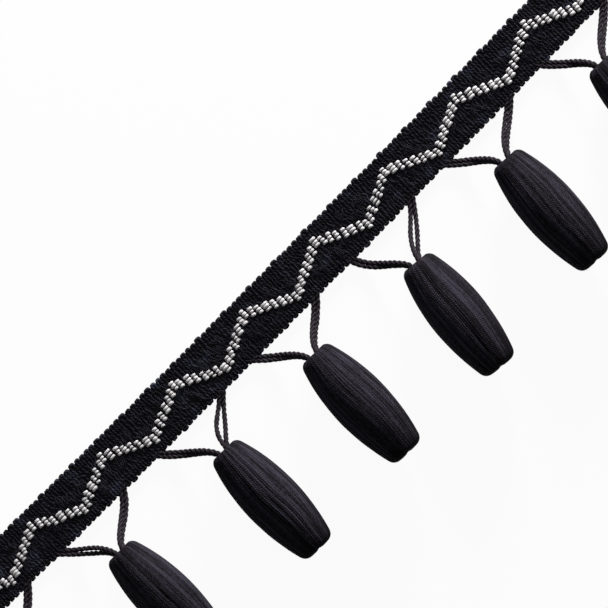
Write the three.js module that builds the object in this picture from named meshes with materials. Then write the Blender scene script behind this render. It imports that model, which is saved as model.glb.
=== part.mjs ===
// A beaded fringe trim lying flat: a woven heading tape, and thread-wrapped barrel beads that hang from
// its lower edge, each on a V of twisted cords. Millimetres, +Z up, X along the tape, the beads towards -Y.
// The origin is on the resting surface, under the middle of the box of the tape and the beads.
import * as THREE from "three";

// Heading tape. A pick is the length of tape that one thick weft cord takes up.
const PICK = 3.26;
const PICKS_PER_DROP = 19; // from the middle of one V to the middle of the next
const TAPE_WIDTH = 25.6; // over the ordinary turns of the weft cords
const TAPE_THICK = 2.4;
const SCALLOP = 0.6; // how far a weft cord's turn stands out of the valleys beside it
const SCALLOP_SHOULDER = 0.28; // half the flat top of a turn, as a share of a pick
const PROUD = 0.55; // how much further the turns of the fuller weft cords stand out
const PROUD_EVERY = 5.12; // one fuller weft cord in this many, on average
const PROUD_FIRST = 0.35; // where their count starts, from the middle pick
const FOOT_ROOM = 6; // no fuller turn on the beads' edge this near the middle of a leg's foot
const BOW = 1; // how far the lie of the tape curves away from the beads over BOW_SPAN on each side
const BOW_SPAN = 160;

// Barrel bead, from its top end, where the cords go in, to its bottom end. Its side is an arc above the
// belly and a slightly flatter one below it.
const BELLY_RADIUS = 13.05;
const TOP_ARC = 93;
const BOTTOM_ARC = 105;
const END_ROUNDING = 4.4; // the radius of the arc that rounds each end off
const HOLE_RADIUS = 5;
const HOLE_DEPTH = 9;
const HOLE_EASE = 1; // the hole's mouth opens out by this much
const HOLE_EASE_DEPTH = 3; // from the top end down to the straight part of the hole
const DIMPLE_RADIUS = 2.6; // where the wrapping threads turn in at the bottom end
const DIMPLE_DEPTH = 1.2;
const BEAD_AXIS_HEIGHT = 12.75; // a little under the belly's radius, so the bead has a flat spot to lie on
const BEAD_SIDES = 18;
const SIDE_STATIONS = [0, 0.14, 0.5, 0.8, 1]; // shares of the arc from the belly to the rounding of an end
const END_STATIONS = [0, 0.4, 1]; // shares of the rounding

// Cord strands.
const CORD_RADIUS = 1;
const CORD_SIDES = 8;
const CORD_STEPS = 6;
const ROUTE_POINTS = 12;
const CORD_IN_HOLE = 8; // how deep a cord reaches into the bead
const CURVE_IN_HOLE = 2.7; // how deep it is in line with the bead
const CORD_HEIGHT = 1.2; // where a cord leaves the edge of the tape
const PAIR_SPREAD = 1.2; // half the distance between the middle lines of the two strands of a leg
const PAIR_EASE = 0.12; // how much further apart each strand lies half way along
const TURN_UNDER = 72; // degrees that a pair turns on its way, the outer strand going under the inner one
const EDGE_CLEAR = 1.05; // from the turns of the tape's edge to the end of a strand's middle line
const TAPE_HANDLE = 11; // how far a strand holds its direction at the tape, and at the bead
const BEAD_HANDLE = 7.5;

// order is 1 for the outer strand of a leg and -1 for the inner one.
const STRANDS = [
  { name: "outer", order: 1 },
  { name: "inner", order: -1 },
];

// The drops from left to right, as they lie. reach is from the tape's middle line to the bead's top end,
// shift moves the bead along the tape from the middle of its V, lean turns its bottom end towards +X in
// degrees, and length is the bead's own. Of a leg, foot is where it leaves the tape, from the middle of the
// V, steeper is how many degrees more steeply it leaves than straight to the bead, inBead is how far from
// the bead's axis its two strands go in, and slit is the most daylight between them.
const DROPS = [
  {
    reach: 29.6, shift: 0.4, lean: 0.8, length: 62.3,
    left: { foot: -18.9, steeper: -4, inBead: 2.2, slit: 0 },
    right: { foot: 18.3, steeper: -2, inBead: 2, slit: 0 },
  },
  {
    reach: 29.5, shift: -1.3, lean: 0.2, length: 62.3,
    left: { foot: -19.4, steeper: -5.3, inBead: 1.75, slit: 0.9 },
    right: { foot: 17.6, steeper: 6.5, inBead: 1.75, slit: 0 },
  },
  {
    reach: 31, shift: 2.5, lean: -0.9, length: 62.5,
    left: { foot: -18.3, steeper: 0.6, inBead: 2.6, slit: 0 },
    right: { foot: 18.5, steeper: -11, inBead: 1.75, slit: 2.4 },
  },
  {
    reach: 29.3, shift: 0, lean: -1.2, length: 62.2,
    left: { foot: -18.7, steeper: -4.9, inBead: 2.7, slit: 0 },
    right: { foot: 17.4, steeper: -1.9, inBead: 1.75, slit: 0 },
  },
  {
    reach: 33.1, shift: 0, lean: -5.9, length: 61.3,
    left: { foot: -18.6, steeper: 15, inBead: 2.4, slit: 0 },
    right: { foot: 17.9, steeper: -0.9, inBead: 1.75, slit: 1.5 },
  },
  {
    reach: 29, shift: -0.3, lean: -3.3, length: 62.2,
    left: { foot: -18.3, steeper: -6.5, inBead: 2.55, slit: 0 },
    right: { foot: 19.2, steeper: -4.1, inBead: 1.75, slit: 0.3 },
  },
  {
    reach: 28.9, shift: -1, lean: -1.5, length: 62.3,
    left: { foot: -17.7, steeper: -4.3, inBead: 2.15, slit: 0 },
    right: { foot: 19.4, steeper: -1.7, inBead: 2.5, slit: 0.3 },
  },
];

const MATERIALS = {
  tape: new THREE.MeshStandardMaterial({ color: 0x1b1b22, roughness: 0.95, metalness: 0 }),
  bead: new THREE.MeshStandardMaterial({ color: 0x202027, roughness: 0.8, metalness: 0 }),
  cord: new THREE.MeshStandardMaterial({ color: 0x1e1c21, roughness: 0.9, metalness: 0 }),
};

const PITCH = PICK * PICKS_PER_DROP;
const PICKS = PICKS_PER_DROP * DROPS.length;

// The middle of a drop's V along the tape.
function dropPlace(index) {
  return (index - (DROPS.length - 1) / 2) * PITCH;
}

// The tape's middle line lies in a slight bow.
function middleLine(x) {
  return BOW * (x / BOW_SPAN) ** 2;
}

// Whether a leg leaves the beads' edge beside this pick.
function besideFoot(pick) {
  return DROPS.some((drop, index) => {
    return [drop.left, drop.right].some((leg) => {
      return Math.abs(dropPlace(index) + leg.foot - pick * PICK) < FOOT_ROOM;
    });
  });
}

// Whether a pick is one of the fuller weft cords.
function isFuller(pick) {
  const count = Math.round((pick - PROUD_FIRST) / PROUD_EVERY);
  return Math.round(PROUD_FIRST + count * PROUD_EVERY) === pick;
}

// How far the turn of a pick stands out of the valleys.
function turnHeight(pick, side) {
  return SCALLOP + (isFuller(pick) && (side > 0 || !besideFoot(pick)) ? PROUD : 0);
}

// One long edge of the tape, from -X to +X. side is 1 for the plain edge and -1 for the beads' edge.
function edgePoints(side) {
  const valley = TAPE_WIDTH / 2 - SCALLOP;
  const first = -(PICKS - 1) / 2;
  const points = [];
  const add = (x, out) => points.push(new THREE.Vector2(x, middleLine(x) + side * out));
  for (let i = 0; i < PICKS; i++) {
    const x = (first + i) * PICK;
    const top = valley + turnHeight(first + i, side);
    add(x - PICK / 2, valley);
    add(x - PICK * SCALLOP_SHOULDER, top);
    add(x + PICK * SCALLOP_SHOULDER, top);
  }
  add((PICKS * PICK) / 2, valley);
  return points;
}

function makeTape() {
  const outline = new THREE.Shape([...edgePoints(-1), ...edgePoints(1).reverse()]);
  const geometry = new THREE.ExtrudeGeometry(outline, { depth: TAPE_THICK, bevelEnabled: false });
  const tape = new THREE.Mesh(geometry, MATERIALS.tape);
  tape.name = "heading";
  return tape;
}

// Half of one side of a bead's section, from the belly to the end of its rounding. upTo is the radius at
// which the rounding stops. Each point has its radius and its distance from the belly.
function barrelSide(sideArc, half, upTo) {
  const inner = Math.sqrt((sideArc - END_ROUNDING) ** 2 - (half - END_ROUNDING) ** 2);
  const sideCentre = BELLY_RADIUS - sideArc;
  const endCentre = sideCentre + inner;
  const meet = Math.atan2(half - END_ROUNDING, inner); // the angle at which the two arcs meet
  const stop = Math.acos(Math.max(upTo - endCentre, 0) / END_ROUNDING);
  const side = SIDE_STATIONS.map((share) => ({
    radius: sideCentre + sideArc * Math.cos(share * meet),
    away: sideArc * Math.sin(share * meet),
  }));
  const rounding = END_STATIONS.slice(1).map((share) => {
    const angle = meet + share * (stop - meet);
    const away = half - END_ROUNDING + END_ROUNDING * Math.sin(angle);
    return { radius: endCentre + END_ROUNDING * Math.cos(angle), away };
  });
  return [...side, ...rounding];
}

// Half the section of a bead, from the bottom end to the floor of its hole. The top end is at y = 0.
function beadProfile(length) {
  const half = length / 2;
  const at = (radius, down) => new THREE.Vector2(radius, -down);
  const above = barrelSide(TOP_ARC, half, HOLE_RADIUS + HOLE_EASE);
  const below = barrelSide(BOTTOM_ARC, half, 0);
  return [
    at(0, length - DIMPLE_DEPTH),
    at(DIMPLE_RADIUS, length),
    ...below.reverse().map(({ radius, away }) => at(radius, half + away)),
    ...above.slice(1).map(({ radius, away }) => at(radius, half - away)),
    at(HOLE_RADIUS, HOLE_EASE_DEPTH),
    at(HOLE_RADIUS, HOLE_DEPTH),
    at(0, HOLE_DEPTH),
  ];
}

function makeBead(drop, number) {
  const halfSide = Math.PI / BEAD_SIDES; // turns the section so that a flat side faces down
  const geometry = new THREE.LatheGeometry(beadProfile(drop.length), BEAD_SIDES, halfSide);
  const place = geometry.attributes.position;
  for (let i = 0; i < place.count; i++) {
    place.setZ(i, Math.max(place.getZ(i), -BEAD_AXIS_HEIGHT)); // the flat spot
  }
  const bead = new THREE.Mesh(geometry, MATERIALS.bead);
  bead.name = `bead_${number}`;
  bead.position.set(drop.shift, -drop.reach, BEAD_AXIS_HEIGHT);
  bead.rotation.z = THREE.MathUtils.degToRad(drop.lean);
  return bead;
}

// The middle line of one leg, from the tape's edge to just inside the bead, in the drop's own group. side is
// -1 for the left leg of the V and 1 for the right one.
function legCurve(drop, leg, side, along) {
  const lean = THREE.MathUtils.degToRad(drop.lean);
  const acrossBead = new THREE.Vector3(Math.cos(lean), Math.sin(lean), 0);
  const outOfBead = new THREE.Vector3(-Math.sin(lean), Math.cos(lean), 0);
  const end = new THREE.Vector3(drop.shift, -drop.reach, BEAD_AXIS_HEIGHT)
    .addScaledVector(acrossBead, side * leg.inBead)
    .addScaledVector(outOfBead, -CURVE_IN_HOLE);
  const edge = middleLine(along + leg.foot) - TAPE_WIDTH / 2 - EDGE_CLEAR;
  const foot = new THREE.Vector3(leg.foot, edge, CORD_HEIGHT);
  const straight = Math.atan2(foot.y - end.y, Math.abs(foot.x - end.x));
  const steep = straight + THREE.MathUtils.degToRad(leg.steeper);
  const leave = new THREE.Vector3(-side * Math.cos(steep), -Math.sin(steep), 0);
  return new THREE.CubicBezierCurve3(
    foot,
    foot.clone().addScaledVector(leave, TAPE_HANDLE),
    end.clone().addScaledVector(outOfBead, BEAD_HANDLE),
    end,
  );
}

// The middle line of one strand: beside its leg's middle line, and on into the bead.
function strandRoute(drop, leg, side, order, along) {
  const curve = legCurve(drop, leg, side, along);
  const points = [];
  let intoBead;
  for (let i = 0; i <= ROUTE_POINTS; i++) {
    const t = i / ROUTE_POINTS;
    const ahead = curve.getTangent(t);
    const level = ahead.clone().setZ(0).normalize();
    const outward = new THREE.Vector3(-side * level.y, side * level.x, 0);
    const below = outward.clone().cross(ahead).multiplyScalar(side);
    const turned = THREE.MathUtils.degToRad(TURN_UNDER) * THREE.MathUtils.smoothstep(t, 0, 1);
    const apart = PAIR_SPREAD * Math.cos(turned) + (leg.slit / 2 + PAIR_EASE) * Math.sin(Math.PI * t) ** 2;
    const toEdge = PAIR_SPREAD * Math.abs(level.x / level.y) * (1 - t) ** 2; // both start at the edge
    const point = curve.getPoint(t).addScaledVector(outward, order * apart);
    point.addScaledVector(below, order * PAIR_SPREAD * Math.sin(turned));
    point.addScaledVector(level, -order * toEdge);
    points.push(point);
    intoBead = level;
  }
  const end = points[points.length - 1];
  const inside = CORD_IN_HOLE - CURVE_IN_HOLE;
  points.push(end.clone().addScaledVector(intoBead, inside / 2));
  points.push(end.clone().addScaledVector(intoBead, inside));
  return new THREE.CatmullRomCurve3(points);
}

function makeStrand(route, name) {
  const section = new THREE.Shape();
  for (let i = 0; i < CORD_SIDES; i++) {
    const angle = (2 * Math.PI * (i + 0.5)) / CORD_SIDES;
    const x = CORD_RADIUS * Math.cos(angle);
    const y = CORD_RADIUS * Math.sin(angle);
    if (i === 0) section.moveTo(x, y);
    else section.lineTo(x, y);
  }
  section.closePath();
  const geometry = new THREE.ExtrudeGeometry(section, { steps: CORD_STEPS, extrudePath: route });
  const cord = new THREE.Mesh(geometry, MATERIALS.cord);
  cord.name = name;
  return cord;
}

function makeDrop(drop, index) {
  const along = dropPlace(index);
  const number = index + 1;
  const group = new THREE.Group();
  group.add(makeBead(drop, number));
  for (const [side, legName] of [[-1, "left"], [1, "right"]]) {
    for (const { name, order } of STRANDS) {
      const route = strandRoute(drop, drop[legName], side, order, along);
      group.add(makeStrand(route, `cord_${number}_${legName}_${name}`));
    }
  }
  group.position.x = along;
  return group;
}

const trim = new THREE.Group();
trim.add(makeTape());
DROPS.forEach((drop, index) => trim.add(makeDrop(drop, index)));

// The origin goes under the middle of the box of the tape and the beads.
trim.updateMatrixWorld(true);
const box = new THREE.Box3();
trim.traverse((piece) => {
  if (piece.isMesh && !piece.name.startsWith("cord")) box.expandByObject(piece, true);
});
const centre = box.getCenter(new THREE.Vector3());
trim.position.set(-centre.x, -centre.y, 0);

export default trim;
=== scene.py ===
"""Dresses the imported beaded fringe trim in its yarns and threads.

A woven heading tape with an ivory zigzag lies flat, and seven thread-wrapped barrel beads hang from its
lower edge, each on a V of doubled twisted cords. Sizes are in millimetres in the frame's axes until
``Skein.build`` turns them into metres.
"""

import logging
import math
from dataclasses import dataclass, field
from enum import Enum
from typing import ClassVar, Iterator

import bpy
import numpy as np
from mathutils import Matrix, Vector


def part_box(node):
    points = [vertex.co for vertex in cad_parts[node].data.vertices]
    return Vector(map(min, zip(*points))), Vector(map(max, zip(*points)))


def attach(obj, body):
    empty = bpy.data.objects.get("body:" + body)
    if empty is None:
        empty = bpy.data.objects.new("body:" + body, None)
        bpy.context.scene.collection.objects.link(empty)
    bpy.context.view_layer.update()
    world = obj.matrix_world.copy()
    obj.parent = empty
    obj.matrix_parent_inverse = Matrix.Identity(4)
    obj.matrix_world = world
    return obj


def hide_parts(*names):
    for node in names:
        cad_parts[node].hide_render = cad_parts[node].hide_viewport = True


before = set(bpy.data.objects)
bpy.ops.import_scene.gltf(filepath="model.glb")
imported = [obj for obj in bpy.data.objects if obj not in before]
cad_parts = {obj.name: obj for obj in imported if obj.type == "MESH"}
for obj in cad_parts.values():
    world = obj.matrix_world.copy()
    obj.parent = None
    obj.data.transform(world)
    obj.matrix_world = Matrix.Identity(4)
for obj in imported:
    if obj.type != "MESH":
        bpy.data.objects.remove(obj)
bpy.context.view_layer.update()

Array = np.ndarray
Colour = tuple[float, float, float]
Span = tuple[float, float]
log = logging.getLogger("trim")

METRES = 0.001  # one millimetre
CENTIMETRE = 10.0  # in millimetres
ALONG = np.array([1.0, 0.0, 0.0])
ACROSS = np.array([0.0, 1.0, 0.0])
UP = np.array([0.0, 0.0, 1.0])
TURN = 2 * math.pi


def ease(place: Array, start: float, end: float) -> Array:
    """Rises smoothly from 0 to 1.

    Args:
        place: Where to read the curve.
        start: Where it leaves 0.
        end: Where it reaches 1.

    Returns:
        The height of the curve at each place.
    """
    share = np.clip((place - start) / (end - start), 0, 1)
    return share * share * (3 - 2 * share)


def unit(vectors: Array) -> Array:
    """Scales vectors to length 1.

    Args:
        vectors: One vector, or a row for each.

    Returns:
        The same directions, each of length 1.
    """
    return vectors / np.linalg.norm(vectors, axis=-1, keepdims=True)


def node_box(node: str) -> tuple[Array, Array]:
    """Reads where a CAD node lies.

    Args:
        node: The node's name.

    Returns:
        Its lowest and highest corners, in millimetres.
    """
    low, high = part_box(node)
    return np.array(low) / METRES, np.array(high) / METRES


class Slot(Enum):
    """The record's material slots, one named by each yarn finish."""

    HEADING = "heading_black"
    ZIGZAG = "zigzag_ivory"
    BEAD = "bead_thread"
    CORD = "cord_black"


@dataclass(frozen=True)
class YarnFinish:
    """A dyed yarn, whose shade runs from its darkest to its lightest fibres.

    Patches are areas of the piece where the yarn is brushed up, and fibres run along each thread.
    """

    name: str
    slot: Slot
    dark: Colour
    light: Colour
    patch: Colour
    patch_share: float
    roughness: tuple[float, float]
    specular: float
    fibres_round: float  # how many fibres lie side by side round a thread
    fibres_along: float  # and in a centimetre along it, less than 0 where they wind the other way
    fibre_relief: float
    chevrons: bool = False  # whether the fibres meet in a V on each thread, or wind round it

    MOTTLE_SCALE: ClassVar[float] = 650.0  # features in a metre
    MOTTLE_DETAIL: ClassVar[float] = 4
    PATCH_SCALE: ClassVar[float] = 150.0
    PATCH_DETAIL: ClassVar[float] = 2
    PATCH_EDGE: ClassVar[Span] = (0.52, 0.74)  # the noise where a patch starts, and where it is full
    MOTTLE_SHADE: ClassVar[float] = 1.3  # how much each of these lightens the yarn; the fibres' share is painted shade between fibres and painted highlight on their ridges
    TONE_SHADE: ClassVar[float] = 0.6
    FIBRE_PAINTED_SHADE: ClassVar[float] = 0.14
    DARKEST: ClassVar[float] = -0.4  # the shade without any of them
    MOTTLE_RELIEF: ClassVar[float] = 1.5  # of the fibres' own
    BUMP_STRENGTH: ClassVar[float] = 0.8

    def make(self) -> bpy.types.Material:
        """Builds the material.

        Returns:
            A material with the yarn's mottled colour, worn patches and fine fibres.
        """
        material = bpy.data.materials.new(self.name)
        material.use_nodes = True
        graph = ShaderGraph(material.node_tree)
        shader = graph.shader
        shader.inputs["Specular IOR Level"].default_value = self.specular
        place = graph.add("ShaderNodeTexCoord").outputs["Object"]
        mottle = graph.noise(place, self.MOTTLE_SCALE, self.MOTTLE_DETAIL)
        fibres = self._fibres(graph)
        tone = graph.add("ShaderNodeAttribute", attribute_name=Skein.TONE).outputs["Fac"]
        shade = graph.math("MULTIPLY_ADD", tone, self.TONE_SHADE, self.DARKEST)
        shade = graph.math("MULTIPLY_ADD", mottle, self.MOTTLE_SHADE, shade)
        # painted shade between the fibres and painted highlight on their ridges
        shade = graph.math("MULTIPLY_ADD", fibres, self.FIBRE_PAINTED_SHADE, shade)
        yarn = graph.mix(shade, self.dark, self.light)
        worn = graph.ramp(graph.noise(place, self.PATCH_SCALE, self.PATCH_DETAIL), *self.PATCH_EDGE)
        colour = graph.mix(graph.math("MULTIPLY", worn, self.patch_share), yarn, self.patch)
        graph.link(colour, shader.inputs["Base Color"])
        low, high = self.roughness
        graph.link(graph.math("MULTIPLY_ADD", mottle, high - low, low), shader.inputs["Roughness"])
        bump = graph.add("ShaderNodeBump")
        bump.inputs["Strength"].default_value = self.BUMP_STRENGTH
        bump.inputs["Distance"].default_value = self.fibre_relief * METRES
        relief = graph.math("MULTIPLY_ADD", mottle, self.MOTTLE_RELIEF, fibres)
        graph.link(relief, bump.inputs["Height"])
        graph.link(bump.outputs["Normal"], shader.inputs["Normal"])
        return material

    def _fibres(self, graph: "ShaderGraph") -> bpy.types.NodeSocket:
        """Draws the fine fibres of each thread.

        Args:
            graph: The material's nodes.

        Returns:
            A wave that runs from -1 between two fibres to 1 on a fibre's ridge.
        """
        lay = graph.add("ShaderNodeUVMap", uv_map=Skein.LAY).outputs["UV"]
        split = graph.add("ShaderNodeSeparateXYZ")
        graph.link(lay, split.inputs[0])
        around = graph.math("MULTIPLY", split.outputs["X"], self.fibres_round)
        along = graph.math("MULTIPLY", split.outputs["Y"], self.fibres_along)
        if self.chevrons:
            thread = graph.add("ShaderNodeTexWhiteNoise", noise_dimensions="1D")
            graph.link(graph.math("FLOOR", around), thread.inputs["W"])
            along = graph.math("ADD", thread.outputs["Value"], along)
            around = graph.math("PINGPONG", around, 0.5)
        turns = graph.math("ADD", along, around)
        return graph.math("SINE", graph.math("MULTIPLY", turns, TURN))


class ShaderGraph:
    """Short ways to add and join a material's nodes."""

    def __init__(self, tree: bpy.types.NodeTree) -> None:
        """Takes a new material's node tree, with its shader."""
        self.tree = tree
        self.shader = tree.nodes["Principled BSDF"]

    def add(self, kind: str, **settings: object) -> bpy.types.Node:
        """Adds a node.

        Args:
            kind: The node's type name.
            **settings: Properties to set on it.

        Returns:
            The new node.
        """
        node = self.tree.nodes.new(kind)
        for name, value in settings.items():
            setattr(node, name, value)
        return node

    def link(self, start: bpy.types.NodeSocket, end: bpy.types.NodeSocket) -> None:
        """Joins two sockets."""
        self.tree.links.new(start, end)

    def _feed(self, value: object, socket: bpy.types.NodeSocket) -> None:
        """Links a socket to another, or sets it.

        Args:
            value: The other socket, or a number or a colour to set it to.
            socket: The input socket.
        """
        if isinstance(value, bpy.types.NodeSocket):
            self.link(value, socket)
        elif isinstance(value, tuple):
            socket.default_value = (*value, 1)
        else:
            socket.default_value = value

    def math(self, operation: str, *values: object) -> bpy.types.NodeSocket:
        """Adds a sum.

        Args:
            operation: The operation's name.
            *values: Its inputs, each a socket or a number.

        Returns:
            The result's socket.
        """
        node = self.add("ShaderNodeMath", operation=operation)
        for value, socket in zip(values, node.inputs):
            self._feed(value, socket)
        return node.outputs[0]

    def noise(self, place: bpy.types.NodeSocket, scale: float, detail: float) -> bpy.types.NodeSocket:
        """Adds a noise.

        Args:
            place: The coordinates that it reads.
            scale: How many features lie in a metre.
            detail: How many finer layers it has.

        Returns:
            The noise, about 0.5 on average.
        """
        node = self.add("ShaderNodeTexNoise")
        node.inputs["Scale"].default_value = scale
        node.inputs["Detail"].default_value = detail
        self.link(place, node.inputs["Vector"])
        return node.outputs["Fac"]

    def ramp(self, value: bpy.types.NodeSocket, start: float, end: float) -> bpy.types.NodeSocket:
        """Adds a smooth step.

        Args:
            value: What it reads.
            start: The value where it leaves 0.
            end: The value where it reaches 1.

        Returns:
            The step's socket.
        """
        node = self.add("ShaderNodeMapRange", interpolation_type="SMOOTHSTEP")
        self.link(value, node.inputs["Value"])
        node.inputs["From Min"].default_value = start
        node.inputs["From Max"].default_value = end
        return node.outputs["Result"]

    def mix(self, share: object, first: object, second: object) -> bpy.types.NodeSocket:
        """Adds a mix of two colours.

        Args:
            share: How much of the second there is, a socket or a number.
            first: A colour or a socket.
            second: A colour or a socket.

        Returns:
            The mixed colour's socket.
        """
        node = self.add("ShaderNodeMix", data_type="RGBA", clamp_factor=True)
        self._feed(share, node.inputs["Factor"])
        self._feed(first, node.inputs["A"])
        self._feed(second, node.inputs["B"])
        return next(s for s in node.outputs if s.type == "RGBA")


class Finish(Enum):
    """The finishes of the trim's yarns."""

    WEFT = YarnFinish(
        name="heading_weft", slot=Slot.HEADING, dark=(0.0085, 0.0075, 0.0098), light=(0.0245, 0.0222, 0.0298),
        patch=(0.042, 0.045, 0.07), patch_share=0.8, roughness=(0.8, 1.0), specular=0.08,
        fibres_round=3, fibres_along=18, fibre_relief=0.05,
    )
    FUZZ = YarnFinish(
        name="heading_fuzz", slot=Slot.HEADING, dark=(0.0155, 0.015, 0.0205), light=(0.044, 0.043, 0.06),
        patch=(0.05, 0.05, 0.07), patch_share=0.3, roughness=(0.8, 1.0), specular=0.08,
        fibres_round=1, fibres_along=4, fibre_relief=0.01,
    )
    IVORY = YarnFinish(
        name="zigzag_yarn", slot=Slot.ZIGZAG, dark=(0.55, 0.53, 0.54), light=(0.72, 0.705, 0.71),
        patch=(0.64, 0.6, 0.6), patch_share=0.5, roughness=(0.8, 1.0), specular=0.15,
        fibres_round=9, fibres_along=3, fibre_relief=0.06,
    )
    BEAD = YarnFinish(
        name="bead_wrapping", slot=Slot.BEAD, dark=(0.0068, 0.0055, 0.0072), light=(0.0405, 0.0368, 0.0515),
        patch=(0.022, 0.0192, 0.0265), patch_share=0.3, roughness=(0.7, 0.9), specular=0.05,
        fibres_round=88, fibres_along=10, fibre_relief=0.12, chevrons=True,
    )
    CORD = YarnFinish(
        name="cord_yarn", slot=Slot.CORD, dark=(0.009, 0.0072, 0.009), light=(0.034, 0.0275, 0.035),
        patch=(0.024, 0.019, 0.025), patch_share=0.3, roughness=(0.7, 0.9), specular=0.1,
        fibres_round=5, fibres_along=-8, fibre_relief=0.05,
    )

    def material(self) -> bpy.types.Material:
        """Returns the finish's one material, which it makes the first time."""
        return bpy.data.materials.get(self.value.name) or self.value.make()


class Wander:
    """A smooth random offset along a thread, made of a few waves."""

    WAVES: ClassVar[int] = 3
    SPREAD: ClassVar[Span] = (0.6, 1.6)  # of the waves' lengths, round the one asked for

    def __init__(self, rng: np.random.Generator, amplitude: float, wavelength: float) -> None:
        """Draws the waves.

        Args:
            rng: The random numbers.
            amplitude: About how far the offset goes each way.
            wavelength: About how long the waves are.
        """
        self.amplitude = amplitude
        self.rate = TURN / (wavelength * rng.uniform(*self.SPREAD, self.WAVES))
        self.phase = rng.uniform(0, TURN, self.WAVES)

    def along(self, place: Array) -> Array:
        """Returns the offset at each place along the thread."""
        waves = np.sin(np.multiply.outer(place, self.rate) + self.phase)
        return self.amplitude * waves.sum(-1) / math.sqrt(self.WAVES)


class Skein:
    """Threads laid one by one, which become the mesh of one piece."""

    LAY: ClassVar[str] = "lay"  # the UV map: how far round a thread, and how many centimetres along it
    TONE: ClassVar[str] = "tone"  # the attribute for how light the dye is, which on the beads and the tape's ground also carries painted shade

    def __init__(self) -> None:
        """Starts with no thread."""
        self.points: list[Array] = []
        self.tones: list[Array] = []
        self.faces: dict[int, list[Array]] = {3: [], 4: []}
        self.lays: dict[int, list[Array]] = {3: [], 4: []}
        self.count = 0

    def lay(self, line: Array, radius: float | Array, sides: int, *, tone: float, keep: Array = UP,
            stretch: float = 1.0, closed: bool = False, roll: float = 0.0) -> None:
        """Lays a round or oval thread along a line.

        Args:
            line: The points that it follows, a row each.
            radius: Its radius, one for all or one for each point.
            sides: How many sides its section has.
            tone: How light its dye came out, from 0 to 1, with any painted shade.
            keep: The direction that the section's first axis keeps to.
            stretch: How much longer the section is along that axis than across it.
            closed: Whether the thread joins up with its own start.
            roll: By how much the section's corners are turned round it.
        """
        ahead = np.roll(line, -1, 0) - np.roll(line, 1, 0) if closed else np.gradient(line, axis=0)
        ahead = unit(ahead)
        first = unit(keep - (ahead @ keep)[:, None] * ahead)
        second = np.cross(ahead, first)
        angle = TURN * np.arange(sides) / sides + roll
        wide = np.broadcast_to(radius, len(line))[:, None, None]
        ring = stretch * np.cos(angle)[:, None] * first[:, None] + np.sin(angle)[:, None] * second[:, None]
        step = np.linalg.norm(np.diff(line, axis=0, append=line[:1] if closed else line[-1:]), axis=1)
        far = np.concatenate([[0], np.cumsum(step)])[: len(line) + closed] / CENTIMETRE
        ends = None if closed else (line[0], line[-1])
        self.wrap(line[:, None] + wide * ring, far, ends, tone)

    def wrap(self, rings: Array, far: Array, ends: tuple[Array, Array] | None, tone: float | Array) -> None:
        """Adds a skin round a row of rings.

        Args:
            rings: The corners of each ring, in order from start to end.
            far: How far along each ring lies, with one more for a thread that joins up.
            ends: The points that close the start and the end, or None where it joins up.
            tone: How light the dye is, with any painted shade, for all of it or for each corner.
        """
        rows, sides = rings.shape[:2]
        number = self.count + np.arange(rows * sides).reshape(rows, sides)
        if ends is None:
            number = np.concatenate([number, number[:1]])
        right = np.roll(number, -1, 1)
        quads = np.stack([number[:-1], right[:-1], right[1:], number[1:]], -1)
        around = np.arange(sides + 1) / sides
        u = np.stack([around[:-1], around[1:], around[1:], around[:-1]], -1)
        v = np.stack([far[:-1], far[:-1], far[1:], far[1:]], -1)
        lays = np.stack(np.broadcast_arrays(u[None], v[:, None]), -1)
        self.faces[4].append(quads.reshape(-1, 4))
        self.lays[4].append(lays.reshape(-1, 4, 2))
        self.points.append(rings.reshape(-1, 3))
        tones = np.broadcast_to(tone, (rows, sides)).ravel()
        self.tones.append(tones)
        self.count += rows * sides
        if ends is not None:
            self._close(number[0][::-1], ends[0], tones[0])
            self._close(number[-1], ends[1], tones[-1])

    def _close(self, ring: Array, middle: Array, tone: float) -> None:
        """Closes an end with a fan of triangles.

        Args:
            ring: The numbers of the end ring's corners, seen from outside, turning left.
            middle: The point in its middle.
            tone: How light the dye is there, with any painted shade.
        """
        fan = np.stack([np.full(len(ring), self.count), ring, np.roll(ring, -1)], -1)
        self.faces[3].append(fan)
        self.lays[3].append(np.zeros((len(ring), 3, 2)))
        self.points.append(middle[None])
        self.tones.append(np.array([tone]))
        self.count += 1

    def build(self, name: str, finish: Finish, smooth: bool = True) -> bpy.types.Object:
        """Makes the piece, which rides on the trim's one body.

        Args:
            name: The piece's name.
            finish: The yarn that it is made of.
            smooth: Whether its faces are shaded as one round surface.

        Returns:
            The new object.
        """
        mesh = bpy.data.meshes.new(name)
        corners = [np.concatenate(self.faces[n]).ravel() for n in (4, 3) if self.faces[n]]
        lays = [np.concatenate(self.lays[n]).ravel() for n in (4, 3) if self.lays[n]]
        sizes = np.concatenate([np.full(len(c) // n, n) for c, n in zip(corners, (4, 3))])
        mesh.vertices.add(self.count)
        mesh.vertices.foreach_set("co", (np.concatenate(self.points) * METRES).astype(np.float32).ravel())
        mesh.loops.add(int(sizes.sum()))
        mesh.loops.foreach_set("vertex_index", np.concatenate(corners).astype(np.int32))
        mesh.polygons.add(len(sizes))
        mesh.polygons.foreach_set("loop_start", np.concatenate([[0], np.cumsum(sizes)[:-1]]).astype(np.int32))
        mesh.polygons.foreach_set("use_smooth", np.full(len(sizes), smooth))
        mesh.uv_layers.new(name=self.LAY).data.foreach_set("uv", np.concatenate(lays).astype(np.float32))
        tone = mesh.attributes.new(self.TONE, "FLOAT", "POINT")
        tone.data.foreach_set("value", np.concatenate(self.tones).astype(np.float32))
        mesh.update(calc_edges=True)
        mesh.materials.append(finish.material())
        piece = bpy.data.objects.new(name, mesh)
        bpy.context.scene.collection.objects.link(piece)
        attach(piece, "root")
        log.info("%s: %d triangles", name, int((sizes - 2).sum()))
        return piece


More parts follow.
